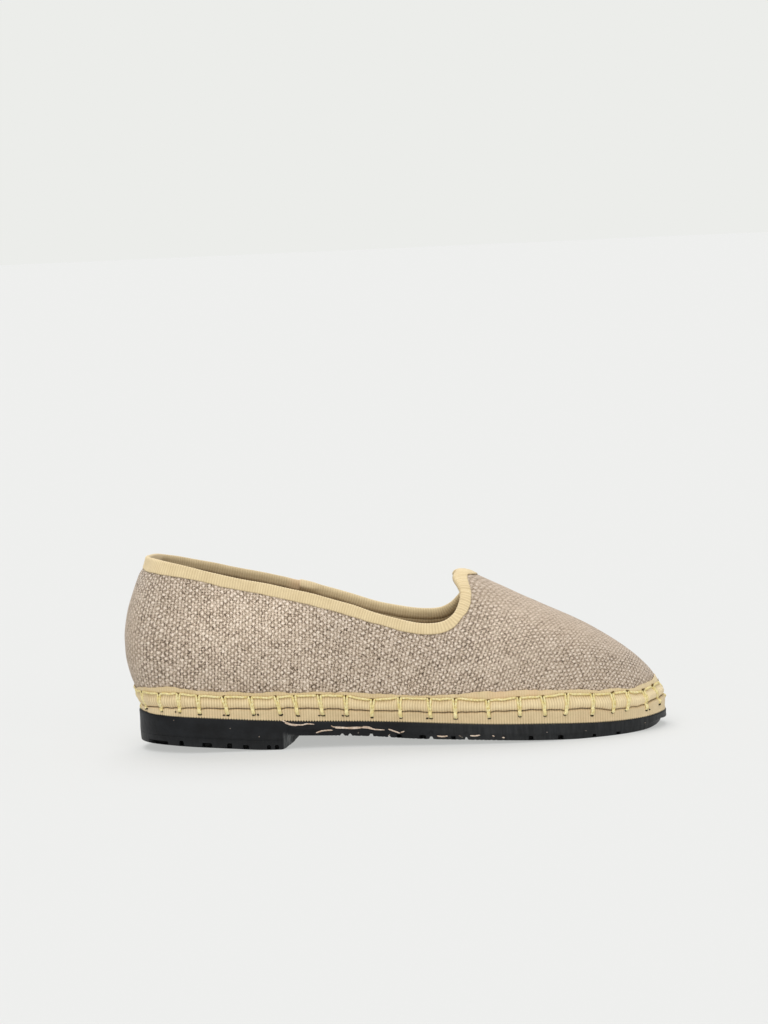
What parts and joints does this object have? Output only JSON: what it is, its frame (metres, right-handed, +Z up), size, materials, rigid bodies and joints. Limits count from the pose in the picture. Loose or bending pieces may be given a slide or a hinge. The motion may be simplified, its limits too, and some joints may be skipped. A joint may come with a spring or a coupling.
{
  "type": "ballet flat",
  "caption": "Flat slipper shoe: linen upper with a notched throat, ribbon-bound collar, ribbon-wrapped midsole with a rolled band, and a rubber outsole with a low heel.",
  "frame": {"origin": "on the floor under the middle of the shoe's overall box", "axes": "+X to the toe, +Y to the inner (medial) side of this right shoe, +Z up"},
  "size_m": [0.2555, 0.0838, 0.0914],
  "materials": {
    "rubber": "satin black moulded rubber",
    "ribbon": "pale yellow grosgrain ribbon",
    "linen": "taupe slub linen, plain weave",
    "sock": "matte cotton sock lining"
  },
  "bodies": {
    "root": {"outsole": "rubber", "midsole": "ribbon", "rolled_band": "ribbon", "upper": "linen", "collar_binding": "ribbon", "insole": "sock"}
  },
  "joints": []
}
